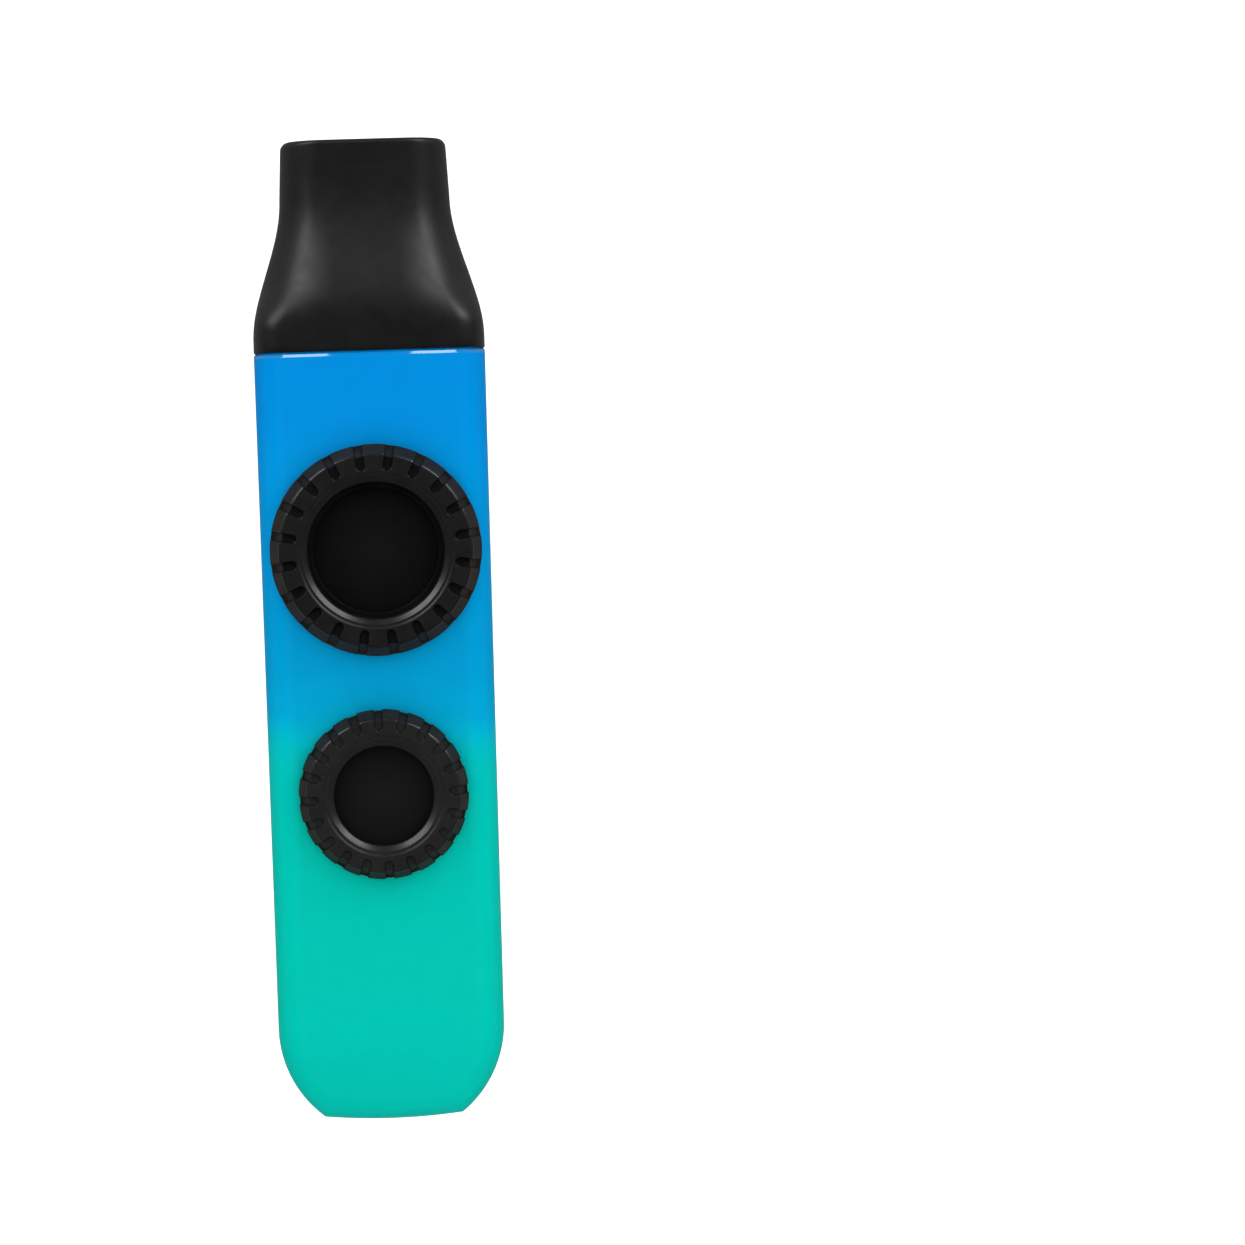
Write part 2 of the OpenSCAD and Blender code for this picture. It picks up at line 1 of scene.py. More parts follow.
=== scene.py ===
from math import asin, atan2, ceil, cos, hypot, pi, radians, sin, sqrt, tan

import bmesh
import bpy
from mathutils import Matrix, Vector


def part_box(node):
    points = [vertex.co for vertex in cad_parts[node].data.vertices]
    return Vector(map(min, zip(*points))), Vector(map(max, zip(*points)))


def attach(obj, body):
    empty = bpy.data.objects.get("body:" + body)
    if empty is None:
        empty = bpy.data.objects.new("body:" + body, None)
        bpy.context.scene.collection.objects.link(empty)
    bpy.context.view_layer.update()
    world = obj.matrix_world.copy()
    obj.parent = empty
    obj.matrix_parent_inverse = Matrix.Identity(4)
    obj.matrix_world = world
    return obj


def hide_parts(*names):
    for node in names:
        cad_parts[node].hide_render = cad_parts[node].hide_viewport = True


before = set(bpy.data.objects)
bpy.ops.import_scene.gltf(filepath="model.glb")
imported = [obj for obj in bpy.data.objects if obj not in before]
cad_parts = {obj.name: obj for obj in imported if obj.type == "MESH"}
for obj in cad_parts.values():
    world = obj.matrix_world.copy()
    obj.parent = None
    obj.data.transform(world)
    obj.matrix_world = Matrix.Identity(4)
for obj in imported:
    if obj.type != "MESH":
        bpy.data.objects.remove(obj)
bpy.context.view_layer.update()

# Everything is in metres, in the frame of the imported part: X across, Y from the outlet end to the
# mouthpiece, Z out of the front with the two tone rings. Sizes are written in millimetres times MM.
MM = 0.001

# Body, whose joint with the mouthpiece and whose front the frame gives
BODY_WIDTH = 29.4 * MM
BODY_THICKNESS = 17.5 * MM
BODY_EDGE = 3.8 * MM
BODY_WALL = 2 * MM
JOINT_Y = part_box("body_shell")[1].y
FRONT_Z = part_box("body_shell")[1].z
MIDDLE_Z = FRONT_Z / 2

# Mouthpiece
MOUTH_LENGTH = 27 * MM
TIP_WIDTH = 21.1 * MM
TIP_THICKNESS = 9.4 * MM
WAIST_WIDTH = 21.8 * MM
FLARE_START = 1.5 * MM
FLARE_END = 19.5 * MM
SLOPE_START = 4.5 * MM
LIP_LENGTH = 3 * MM
SLOPE_BIAS = 3
LIP_ROUND = 1.1 * MM
LIP_EDGE = 0.55 * MM
# Rounding at the section's corners where the flare is widest open, and at the lips
CORNER_FLARE_WIDTH = 4.6 * MM
CORNER_FLARE_HEIGHT = 4.6 * MM
CORNER_TIP_WIDTH = 4.8 * MM
ROUND_START = 3 * MM
ROUND_PEAK = 9.5 * MM
CORNER_FALL = 2 * MM
# The front and back faces are level to this distance from the middle and fall off to the sides
# by these shares of half the thickness, in the flare and at the lips
LEVEL_HALF = 3.5 * MM
CROWN_SHARES = (0.38, 0.2)
CROWN_FALL = 14 * MM
CROWN_END = 22 * MM
MOUTH_WALL = 1.9 * MM
# Corner radius of the air passage: at the joint, in the flare and at the lips. Its corners and its
# crown grow between these shares of the flare.
PASSAGE_CORNERS = (0.45 * MM, 2.9 * MM, 2.52 * MM)
PASSAGE_ROUND_SHARES = (0.39, 0.54)
PASSAGE_CROWN_SHARES = (0.48, 0.58)
SPIGOT_LENGTH = 12 * MM
SPIGOT_WALL = 1.8 * MM
SPIGOT_WIDTH = 25.02 * MM
SPIGOT_THICKNESS = 13.2 * MM
SPIGOT_CORNER = 1.65 * MM
SEAL_FROM_END = 3 * MM
SEAL_WIDTH = 1.4 * MM
SEAL_GROOVE = 0.7 * MM
EDGE_BREAK = 0.12 * MM
# A broken edge has one more point, at this share of the break from both faces
BREAK_MIDDLE = 0.3
PASSAGE_EDGE = 0.25 * MM
# Rows of points: over the flare and this far past it, up to the lips, round them and inside
FLARE_REACH = 1.5 * MM
FLARE_ROWS = 32
TIP_ROWS = 4
LIP_ROWS = 16
PASSAGE_EDGE_ROWS = 3
PASSAGE_ROWS = 13
# Points round a corner and along a flat stretch of each row
CORNER_STEPS = 14
FLAT_STEPS = 20

# Heights of the resonators over the front of the body
FLANGE_HEIGHT = 0.8 * MM
NECK_HEIGHT = 3.2 * MM
COLLAR_WALL = 1.2 * MM
COLLAR_REACH = 0.6 * MM
COLLAR_BREAK = 0.15 * MM
FLANGE_INSET = 0.25 * MM
CAP_UNDERSIDE = 4.6 * MM
CAP_THICKNESS = 1.2 * MM
RING_TOP = CAP_UNDERSIDE + CAP_THICKNESS
SKIRT_BASE = 0.92 * MM
BAND_TOP = SKIRT_BASE + 1.4 * MM

# Tone rings: the two share these
SHOULDER_ROUND = 0.5 * MM
SKIRT_EDGE = 0.06 * MM
STEP_DEPTH = 0.15 * MM
STEP_EDGE = 0.02 * MM
LIP_SLOPE = radians(30)
LIP_BEND = 0.4 * MM
CAP_EDGE = 0.05 * MM
BORE_EDGE_HEIGHT = 0.05 * MM
BORE_EDGE_WIDTH = 0.08 * MM
SLOT_COUNT = 20
SLOT_WIDTH = 1.1 * MM
SLOT_DEPTH = 0.45 * MM
SLOT_EDGE = 0.07 * MM
# Shape of a slot's inner end: how far along, as a share of its width, and how wide it is there
SLOT_ARCH = ((0, 0.3), (0.12, 0.7), (0.35, 0.95), (0.6, 1), (9, 1))
# Columns of one sector of a tone ring: offsets from the middle of its slot, as shares of the
# slot's half width, and then shares of what is left of the sector
SLOT_COLUMNS = (-1.7, -1.25, -1.1, -1.0, -0.88, -0.6, 0.0, 0.6, 0.88, 1.0, 1.1, 1.25, 1.7)
LAND_COLUMNS = (0.25, 0.5, 0.75)
# The columns draw together to no less than this share of the slot's width, and from this far
# inside the slots' ends on they keep their angles
LEAST_SLOT = 0.22
COLUMNS_REACH = 0.1 * MM
# Rows of a tone ring's outside: up the wall as shares of it, round the shoulder, over the flat
# top, and over the arched ends of the slots as shares of a slot's width
WALL_ROWS = (0, 0.03, 0.15, 0.6, 1)
SHOULDER_ROWS = 8
TOP_ROWS = 3
ARCH_ROWS = (0.8, 0.65, 0.5, 0.4, 0.3, 0.22, 0.14, 0.07, 0.0, -0.06, -0.14)
ARCH_START = 0.95
# Rows of its lip, on the bend at the top and on the one into the opening
LIP_TOP_ROWS = 5
LIP_LOW_ROWS = 8
# A row is wall where its direction points up by less than this, and a face is slot where it is sunk
# by more than this share of the slot's depth. Wall faces take a lighter black, painted light, and
# slot faces a darker one, painted shade.
WALL_UPWARD = 0.45
SLOT_SHADE = 0.4

# Thread
PITCH = 1.5 * MM
THREAD_HEIGHT = 0.4 * MM
THREAD_ROOT = 0.75 * MM
THREAD_CREST = 0.4 * MM
THREAD_CLEARANCE = 0.12 * MM
COLLAR_TURNS = 1
RING_TURNS = 1.4
# Over this share of its length, at both ends, a rib fades down to this share of its height
THREAD_FADE = 0.12
THREAD_FADE_LOW = 0.3
COLLAR_THREAD_Z = FLANGE_HEIGHT + THREAD_ROOT / 2 + THREAD_CLEARANCE
RIB_CREST = PITCH - THREAD_ROOT - THREAD_CLEARANCE
RIB_ROOT = RIB_CREST + THREAD_ROOT - THREAD_CREST
THREAD_ROWS = 26
COLLAR_COLUMNS = 180

# Middle of each resonator, and radii: of its band, shoulder, inner ends of the slots, fine step,
# lip and opening, and of the collar's neck and bore. Turn is the angle by which its slots are
# turned, and nick is their depth in the plain band, over which they run on.
RESONATORS = {
    "large": {
        "y": JOINT_Y - 25.3 * MM, "ring": 13.4 * MM, "shoulder": 12.2 * MM, "slot": 10.15 * MM,
        "step": 9.65 * MM, "lip": 9.5 * MM, "opening": 8.6 * MM, "neck": 11 * MM,
        "bore": 8.6 * MM, "turn": radians(-9.4), "nick": 0.05 * MM,
    },
    "small": {
        "y": JOINT_Y - 56.2 * MM, "ring": 10.75 * MM, "shoulder": 9.75 * MM, "slot": 8.25 * MM,
        "step": 7.4 * MM, "lip": 7.2 * MM, "opening": 6.25 * MM, "neck": 8.3 * MM,
        "bore": 6.5 * MM, "turn": radians(2.4), "nick": 0.17 * MM,
    },
}

# Edges that turn by more than this stay sharp
SHARP_ANGLE = radians(38)


# Small helpers
def clamp(s, low=0.0, high=1.0):
    return min(high, max(low, s))


def mix(a, b, s):
    return a + (b - a) * s


def smooth(s):
    s = clamp(s)
    return s * s * (3 - 2 * s)


def interpolate(table, x):
    """The value at x, on straight lines between the pairs of a table."""
    for (x0, y0), (x1, y1) in zip(table, table[1:]):
        if x <= x1:
            return mix(y0, y1, clamp((x - x0) / (x1 - x0)))
    return table[-1][1]


def closed_skin(name, rows):
    """A closed ring-shaped mesh: every row is a closed loop, and the last row joins the first."""
    columns = len(rows[0])
    faces = []
    for j in range(len(rows)):
        here = j * columns
        there = (j + 1) % len(rows) * columns
        for k in range(columns):
            beside = (k + 1) % columns
            faces.append((here + k, here + beside, there + beside, there + k))
    mesh = bpy.data.meshes.new(name)
    mesh.from_pydata([p for row in rows for p in row], [], faces)
    shell = bmesh.new()
    shell.from_mesh(mesh)
    if shell.calc_volume(signed=True) < 0:
        bmesh.ops.reverse_faces(shell, faces=shell.faces)
    shell.to_mesh(mesh)
    shell.free()
    for polygon in mesh.polygons:
        polygon.use_smooth = True
    mesh.set_sharp_from_angle(angle=SHARP_ANGLE)
    piece = bpy.data.objects.new(name, mesh)
    bpy.context.scene.collection.objects.link(piece)
    return piece


# Materials
WHITE = (1, 1, 1, 1)


def blank_material(name):
    material = bpy.data.materials.new(name)
    material.use_nodes = True
    tree = material.node_tree
    tree.nodes.clear()
    output = tree.nodes.new("ShaderNodeOutputMaterial")
    shader = tree.nodes.new("ShaderNodeBsdfPrincipled")
    tree.links.new(shader.outputs["BSDF"], output.inputs["Surface"])
    return material, tree, shader


def add_node(tree, kind, inputs=None, **settings):
    node = tree.nodes.new(kind)
    for key, value in settings.items():
        setattr(node, key, value)
    for key, value in (inputs or {}).items():
        if isinstance(value, bpy.types.NodeSocket):
            tree.links.new(value, node.inputs[key])
        else:
            node.inputs[key].default_value = value
    return node


def object_space(tree):
    return add_node(tree, "ShaderNodeTexCoord").outputs["Object"]


def noise(tree, size, detail=2.0, roughness=0.5):
    """Noise in object space whose grains are about this size."""
    return add_node(
        tree, "ShaderNodeTexNoise",
        {"Vector": object_space(tree), "Scale": 1 / size, "Detail": detail, "Roughness": roughness},
    ).outputs["Fac"]


def spread(tree, value, low, high, from_low=0.3, from_high=0.7):
    """The value stretched to run from low to high. Most of a noise lies between 0.3 and 0.7."""
    return add_node(
        tree, "ShaderNodeMapRange",
        {
            "Value": value, "From Min": from_low, "From Max": from_high,
            "To Min": low, "To Max": high,
        },
    ).outputs["Result"]


def math(tree, operation, a, b=None):
    node = add_node(tree, "ShaderNodeMath", operation=operation)
    for i, value in enumerate((a, b)):
        if isinstance(value, bpy.types.NodeSocket):
            tree.links.new(value, node.inputs[i])
        elif value is not None:
            node.inputs[i].default_value = value
    return node.outputs[0]


def vector_math(tree, operation, a, b=None):
    node = add_node(tree, "ShaderNodeVectorMath", operation=operation)
    tree.links.new(a, node.inputs[0])
    if b:
        tree.links.new(b, node.inputs[1])
    return node.outputs[0]


def blend_colour(tree, factor, a, b, blend_type="MIX"):
    # For colours the node uses inputs 0 for the factor, 6 and 7 for the two, and output 2
    node = add_node(tree, "ShaderNodeMix", data_type="RGBA", blend_type=blend_type)
    for socket, value in ((node.inputs[0], factor), (node.inputs[6], a), (node.inputs[7], b)):
        if isinstance(value, bpy.types.NodeSocket):
            tree.links.new(value, socket)
        elif isinstance(value, (int, float)):
            socket.default_value = value
        else:
            socket.default_value = (*value, 1)
    return node.outputs[2]


def grain(tree, shader, size, depth, wave_size=None, wave_depth=0.0, normal=None):
    """Fine moulded grain, on a very shallow unevenness where a wave is given."""
    if wave_size:
        wave = add_node(
            tree, "ShaderNodeBump",
            {"Height": noise(tree, wave_size, 1.0), "Distance": wave_depth, "Strength": 1.0},
        )
        if normal:
            tree.links.new(normal, wave.inputs["Normal"])
        normal = wave.outputs["Normal"]
    bump = add_node(
        tree, "ShaderNodeBump",
        {"Height": noise(tree, size, 3.0), "Distance": depth, "Strength": 1.0},
    )
    if normal:
        tree.links.new(normal, bump.inputs["Normal"])
    tree.links.new(bump.outputs["Normal"], shader.inputs["Normal"])


# Black plastics: patches of tone and of gloss, and size and depth of a shallow wave
BLACK_PATCH = 3 * MM
BLACK_GLOSS_PATCH = 1.2 * MM
BLACK_GLOSS_SPREAD = 0.035
BLACK_WAVE = (4 * MM, 0.006 * MM)


def black_plastic(name, tones, roughness, grain_size, grain_depth, level=0.5, warmth=0.0):
    """Satin black plastic, a little uneven in colour and gloss."""
    material, tree, shader = blank_material(name)
    dark, light = ((tone, tone * (1 - warmth / 2), tone * (1 - warmth)) for tone in tones)
    colour = blend_colour(tree, spread(tree, noise(tree, BLACK_PATCH), 0, 1), dark, light)
    gloss = spread(
        tree, noise(tree, BLACK_GLOSS_PATCH, 4.0),
        roughness - BLACK_GLOSS_SPREAD, roughness + BLACK_GLOSS_SPREAD,
    )
    tree.links.new(colour, shader.inputs["Base Color"])
    tree.links.new(gloss, shader.inputs["Roughness"])
    shader.inputs["Specular IOR Level"].default_value = level
    grain(tree, shader, grain_size, grain_depth, *BLACK_WAVE)
    return material


# Colours down the body, by the distance from the mouthpiece joint in millimetres
BODY_COLOURS = (
    (0, (0.0, 0.222, 0.605)),
    (8, (0.0, 0.228, 0.61)),
    (16, (0.0, 0.258, 0.62)),
    (30, (0.0, 0.268, 0.58)),
    (41, (0.0, 0.287, 0.548)),
    (46, (0.0, 0.322, 0.56)),
    (48.6, (0.0, 0.395, 0.53)),
    (50.2, (0.0, 0.43, 0.49)),
    (53.2, (0.0, 0.46, 0.435)),
    (60, (0.0, 0.467, 0.385)),
    (78, (0.0, 0.465, 0.37)),
    (86, (0.0, 0.46, 0.37)),
    (92, (0.0, 0.435, 0.355)),
    (98, (0.0, 0.425, 0.345)),
)
# The fade leans a little, so that the left side turns teal first, and it wavers by this much
FADE_LEAN = 0.055
FADE_PATCH = 9 * MM
FADE_SPREAD = 0.8 * MM
# Patches of tone and of gloss, and then size and depth of the grain and of a shallow wave
TONE_PATCH = 2.5 * MM
TONE_SPREAD = 0.015
BODY_GLOSS_PATCH = 1.5 * MM
BODY_ROUGHNESS = (0.27, 0.34)
BODY_LEVEL = 0.018
BODY_GRAIN = (0.12 * MM, 0.0012 * MM)
BODY_WAVE = (6 * MM, 0.01 * MM)
# The open rim's edge is polished. It leans to the joint, and ever more to the sides.
RIM_DEPTH = 0.7 * MM
RIM_BLEND = 0.1 * RIM_DEPTH
RIM_LEAN = 0.43
RIM_LEVEL_HALF = 2.6 * MM
RIM_CROWN = 15.5 * MM
RIM_LEVEL = 0.9
RIM_ROUGHNESS = 0.1


def body_plastic():
    material, tree, shader = blank_material("body_plastic_fade")
    split = add_node(tree, "ShaderNodeSeparateXYZ", {"Vector": object_space(tree)})
    x = split.outputs["X"]
    y = split.outputs["Y"]
    down = math(tree, "SUBTRACT", JOINT_Y, y)
    down = math(tree, "SUBTRACT", down, math(tree, "MULTIPLY", x, FADE_LEAN))
    uneven = spread(tree, noise(tree, FADE_PATCH), -FADE_SPREAD, FADE_SPREAD)
    down = math(tree, "ADD", down, uneven)
    length = BODY_COLOURS[-1][0] * MM
    ramp = add_node(tree, "ShaderNodeValToRGB", {"Fac": math(tree, "DIVIDE", down, length)})
    stops = ramp.color_ramp.elements
    stops[0].position = 0
    stops[0].color = (*BODY_COLOURS[0][1], 1)
    stops[1].position = 1
    stops[1].color = (*BODY_COLOURS[-1][1], 1)
    for place, colour in BODY_COLOURS[1:-1]:
        stop = stops.new(place * MM / length)
        stop.color = (*colour, 1)
    colour = ramp.outputs["Color"]
    shade = spread(tree, noise(tree, TONE_PATCH, 4.0), 1 - TONE_SPREAD, 1 + TONE_SPREAD)
    shade = add_node(tree, "ShaderNodeCombineXYZ", {"X": shade, "Y": shade, "Z": shade})
    colour = blend_colour(tree, 1.0, colour, shade.outputs[0], "MULTIPLY")
    tree.links.new(colour, shader.inputs["Base Color"])

    rim_start = JOINT_Y - RIM_DEPTH
    at_rim = spread(tree, y, 0, 1, rim_start, rim_start + RIM_BLEND)
    out = math(tree, "SUBTRACT", math(tree, "ABSOLUTE", x), RIM_LEVEL_HALF)
    out = math(tree, "DIVIDE", math(tree, "MAXIMUM", out, 0.0), RIM_CROWN)
    aside = math(tree, "MULTIPLY", out, math(tree, "SIGN", x))
    lean = add_node(tree, "ShaderNodeCombineXYZ", {
        "X": math(tree, "MULTIPLY", aside, at_rim), "Y": math(tree, "MULTIPLY", at_rim, RIM_LEAN),
    }).outputs[0]
    flat = add_node(tree, "ShaderNodeNewGeometry").outputs["Normal"]
    rim = vector_math(tree, "NORMALIZE", vector_math(tree, "ADD", flat, lean))
    gloss = spread(tree, noise(tree, BODY_GLOSS_PATCH, 4.0), *BODY_ROUGHNESS)
    gloss = spread(tree, at_rim, gloss, RIM_ROUGHNESS, 0, 1)
    level = spread(tree, at_rim, BODY_LEVEL, RIM_LEVEL, 0, 1)
    tree.links.new(gloss, shader.inputs["Roughness"])
    tree.links.new(level, shader.inputs["Specular IOR Level"])
    grain(tree, shader, *BODY_GRAIN, *BODY_WAVE, rim)
    return material


# Silicone and slip washers, which are matt
MATT_PATCH = 1.5 * MM
MATT_GLOSS_PATCH = 0.8 * MM
MATT_GLOSS_SPREAD = 0.05
MATT_GRAIN_DEPTH = 0.002 * MM


def matt_material(name, dark, light, roughness, grain_size):
    material, tree, shader = blank_material(name)
    colour = blend_colour(tree, spread(tree, noise(tree, MATT_PATCH), 0, 1), dark, light)
    tree.links.new(colour, shader.inputs["Base Color"])
    gloss = spread(
        tree, noise(tree, MATT_GLOSS_PATCH, 3.0),
        roughness - MATT_GLOSS_SPREAD, roughness + MATT_GLOSS_SPREAD,
    )
    tree.links.new(gloss, shader.inputs["Roughness"])
    grain(tree, shader, grain_size, MATT_GRAIN_DEPTH)
    return material


# Films: painted shade darkens them toward the ring's wall; they pale between these shares of the
# opening, from the outer one in
FILM_PALE_FROM = 0.95
FILM_PALE_TO = 0.1
FILM_GLOSS_PATCH = 3 * MM
FILM_ROUGHNESS = (0.5, 0.58)
FILM_LEVEL = 0.08
FILM_GRAIN = (0.2 * MM, 0.0006 * MM)
FILM_WAVE = (3 * MM, 0.008 * MM)


def shaded_film_material(name, r, edge, middle):
    """Thin dark film, drawn tight, with painted shade: darker toward its edge, a trace paler in its
    middle.
    """
    material, tree, shader = blank_material(name)
    split = add_node(tree, "ShaderNodeSeparateXYZ", {"Vector": object_space(tree)})
    off_x = math(tree, "POWER", split.outputs["X"], 2.0)
    off_y = math(tree, "POWER", math(tree, "SUBTRACT", split.outputs["Y"], r["y"]), 2.0)
    off = math(tree, "SQRT", math(tree, "ADD", off_x, off_y))
    near = spread(tree, off, 1, 0, FILM_PALE_TO * r["opening"], FILM_PALE_FROM * r["opening"])
    colour = blend_colour(tree, near, (edge,) * 3, (middle,) * 3)
    tree.links.new(colour, shader.inputs["Base Color"])
    gloss = spread(tree, noise(tree, FILM_GLOSS_PATCH, 2.0), *FILM_ROUGHNESS)
    tree.links.new(gloss, shader.inputs["Roughness"])
    shader.inputs["Specular IOR Level"].default_value = FILM_LEVEL
    grain(tree, shader, *FILM_GRAIN, *FILM_WAVE)
    return material


# Mouthpiece: a loft of rounded rectangles, outside, lips, air passage and spigot in one skin
def flare(y):
    return smooth((y - FLARE_START) / (FLARE_END - FLARE_START))


def to_tip(y):
    return clamp((y - FLARE_END) / (MOUTH_LENGTH - FLARE_END))


def mouth_width(y):
    if y < FLARE_END:
        return mix(BODY_WIDTH, WAIST_WIDTH, flare(y))
    return mix(WAIST_WIDTH, TIP_WIDTH, to_tip(y))


def slope_drop(s):
    """From 0 to 1, level at both ends and steepest in its first half."""
    s = clamp(s)
    return 1 - (1 - s) ** SLOPE_BIAS * (1 + SLOPE_BIAS * s)


def mouth_thickness(y):
    drop = slope_drop((y - SLOPE_START) / (MOUTH_LENGTH - LIP_LENGTH - SLOPE_START))
    return mix(BODY_THICKNESS, TIP_THICKNESS, drop)


def rounding(y):
    return smooth((y - ROUND_START) / (ROUND_PEAK - ROUND_START))


def crown(y):
    in_flare, at_tip = CROWN_SHARES
    fall = smooth((y - CROWN_FALL) / (CROWN_END - CROWN_FALL))
    return in_flare * rounding(y) + (at_tip - in_flare) * fall


def crowned(px, y, share):
    """Share of the height that is left at this distance from the middle."""
    out = clamp((abs(px) - LEVEL_HALF) / (mouth_width(y) / 2 - LEVEL_HALF))
    return 1 - share * out * out


def along_flare(y, at_joint, at_peak, at_tip):
    """A rounding that grows from the joint to its peak and then goes over to that of the lips."""
    fall = smooth((y - ROUND_PEAK) / (FLARE_END + CORNER_FALL - ROUND_PEAK))
    return mix(at_joint, at_peak, rounding(y)) + (at_tip - at_peak) * fall


def corner_width(y):
    return along_flare(y, BODY_EDGE, CORNER_FLARE_WIDTH, CORNER_TIP_WIDTH)


def corner_height(y):
    height = along_flare(y, BODY_EDGE, CORNER_FLARE_HEIGHT, CORNER_FLARE_HEIGHT)
    return min(mouth_thickness(y) / 2 - LIP_EDGE / 2, height)


def passage_corner(y):
    start = PASSAGE_ROUND_SHARES[0] * FLARE_END
    end = PASSAGE_ROUND_SHARES[1] * FLARE_END
    at_joint, in_flare, at_tip = PASSAGE_CORNERS
    fall = smooth((y - end) / (FLARE_END - end))
    return mix(at_joint, in_flare, smooth((y - start) / (end - start))) + (at_tip - in_flare) * fall


def passage_crown(y):
    start = PASSAGE_CROWN_SHARES[0] * FLARE_END
    end = PASSAGE_CROWN_SHARES[1] * FLARE_END
    return crown(y) * smooth((y - start) / (end - start))


def rounded_loop(y, width, thickness, corner, corner_z=None, share=0.0):
    """A rounded rectangle across the kazoo, y from the joint, as a closed loop of points."""
    corner_z = corner_z or corner
    x = width / 2 - corner
    z = thickness / 2 - corner_z
    points = []
    for cx, cz, start in ((x, z, 0), (-x, z, 90), (-x, -z, 180), (x, -z, 270)):
        for k in range(CORNER_STEPS + 1):
            angle = radians(start + 90 * k / CORNER_STEPS)
            points.append((cx + corner * cos(angle), cz + corner_z * sin(angle)))
    loop = []
    for i, (px, pz) in enumerate(points):
        loop.append((px, JOINT_Y + y, MIDDLE_Z + pz))
        if i % (CORNER_STEPS + 1) == CORNER_STEPS:
            qx, qz = points[(i + 1) % len(points)]
            for k in range(1, FLAT_STEPS):
                s = k / FLAT_STEPS
                loop.append((mix(px, qx, s), JOINT_Y + y, MIDDLE_Z + mix(pz, qz, s)))
    return [(px, py, MIDDLE_Z + (pz - MIDDLE_Z) * crowned(px, y, share)) for px, py, pz in loop]


def mouthpiece():
    """Outside, lips, air passage, and the spigot with the groove of the seal."""
    rows = []

    def outside(y, inset, inset_z=None):
        inset_z = inset if inset_z is None else inset_z
        rows.append(rounded_loop(
            y, mouth_width(y) - 2 * inset, mouth_thickness(y) - 2 * inset_z,
            corner_width(y) - inset, corner_height(y) - inset_z, crown(y),
        ))

    def passage(y, grow=0.0):
        at = clamp(y / FLARE_END)
        width = mix(SPIGOT_WIDTH - 2 * SPIGOT_WALL, mouth_width(max(y, 0)) - 2 * MOUTH_WALL, at)
        thickness = min(
            SPIGOT_THICKNESS - 2 * SPIGOT_WALL, mouth_thickness(max(y, 0)) - 2 * MOUTH_WALL,
        )
        corner = passage_corner(y) + grow
        rows.append(rounded_loop(
            y, width + 2 * grow, thickness + 2 * grow, corner, corner, passage_crown(y),
        ))

    def spigot(y, inset):
        rows.append(rounded_loop(
            y, SPIGOT_WIDTH - 2 * inset, SPIGOT_THICKNESS - 2 * inset, SPIGOT_CORNER - inset,
        ))

    # Outside, from the joint to the lips
    outside(0, EDGE_BREAK)
    outside(EDGE_BREAK * BREAK_MIDDLE, EDGE_BREAK * BREAK_MIDDLE)
    outside(EDGE_BREAK, 0)
    flare_to = FLARE_END + FLARE_REACH
    for k in range(FLARE_ROWS + 1):
        outside(mix(FLARE_START / 2, flare_to, k / FLARE_ROWS), 0)
    for k in range(1, TIP_ROWS):
        outside(mix(flare_to, MOUTH_LENGTH - LIP_ROUND, k / TIP_ROWS), 0)
    for k in range(LIP_ROWS + 1):
        angle = radians(90 * k / LIP_ROWS)
        y = MOUTH_LENGTH - LIP_ROUND * (1 - sin(angle))
        over = max(0, y - (MOUTH_LENGTH - LIP_EDGE))
        inset_z = LIP_EDGE - sqrt(max(0, LIP_EDGE * LIP_EDGE - over * over))
        outside(y, LIP_ROUND * (1 - cos(angle)), inset_z)
    # Passage, from the lips to the end of the spigot
    for k in range(PASSAGE_EDGE_ROWS + 1):
        angle = radians(90 * k / PASSAGE_EDGE_ROWS)
        passage(MOUTH_LENGTH - PASSAGE_EDGE * (1 - cos(angle)), PASSAGE_EDGE * (1 - sin(angle)))
    for k in range(1, PASSAGE_ROWS + 1):
        passage(mix(MOUTH_LENGTH - PASSAGE_EDGE, FLARE_START, k / PASSAGE_ROWS))
    passage(0)
    passage(-SPIGOT_LENGTH + EDGE_BREAK)
    passage(-SPIGOT_LENGTH, EDGE_BREAK)
    # Outside of the spigot, with the seal's groove, back to the joint
    groove = -SPIGOT_LENGTH + SEAL_FROM_END
    spigot(-SPIGOT_LENGTH, EDGE_BREAK * 2)
    spigot(-SPIGOT_LENGTH + EDGE_BREAK * 2, 0)
    spigot(groove - EDGE_BREAK, 0)
    spigot(groove, EDGE_BREAK)
    spigot(groove, SEAL_GROOVE)
    spigot(groove + SEAL_WIDTH, SEAL_GROOVE)
    spigot(groove + SEAL_WIDTH, EDGE_BREAK)
    spigot(groove + SEAL_WIDTH + EDGE_BREAK, 0)
    spigot(0, 0)
    return closed_skin("mouthpiece_flare", rows)


# Threads: how far a rib stands out of its wall, from 0 to 1, at an angle and a height
def rib_share(angle, z, start_z, turns, root, crest):
    best = 0.0
    for k in range(ceil(turns)):
        travel = angle / (2 * pi) + k
        if travel > turns:
            continue
        share = travel / turns
        fade = mix(THREAD_FADE_LOW, 1, clamp(min(share, 1 - share) / THREAD_FADE))
        off = abs(z - start_z - PITCH * travel)
        best = max(best, fade * clamp((root / 2 - off) / ((root - crest) / 2)))
    return best


def around(r, radius, angle, height):
    return (radius * cos(angle), r["y"] + radius * sin(angle), FRONT_Z + height)


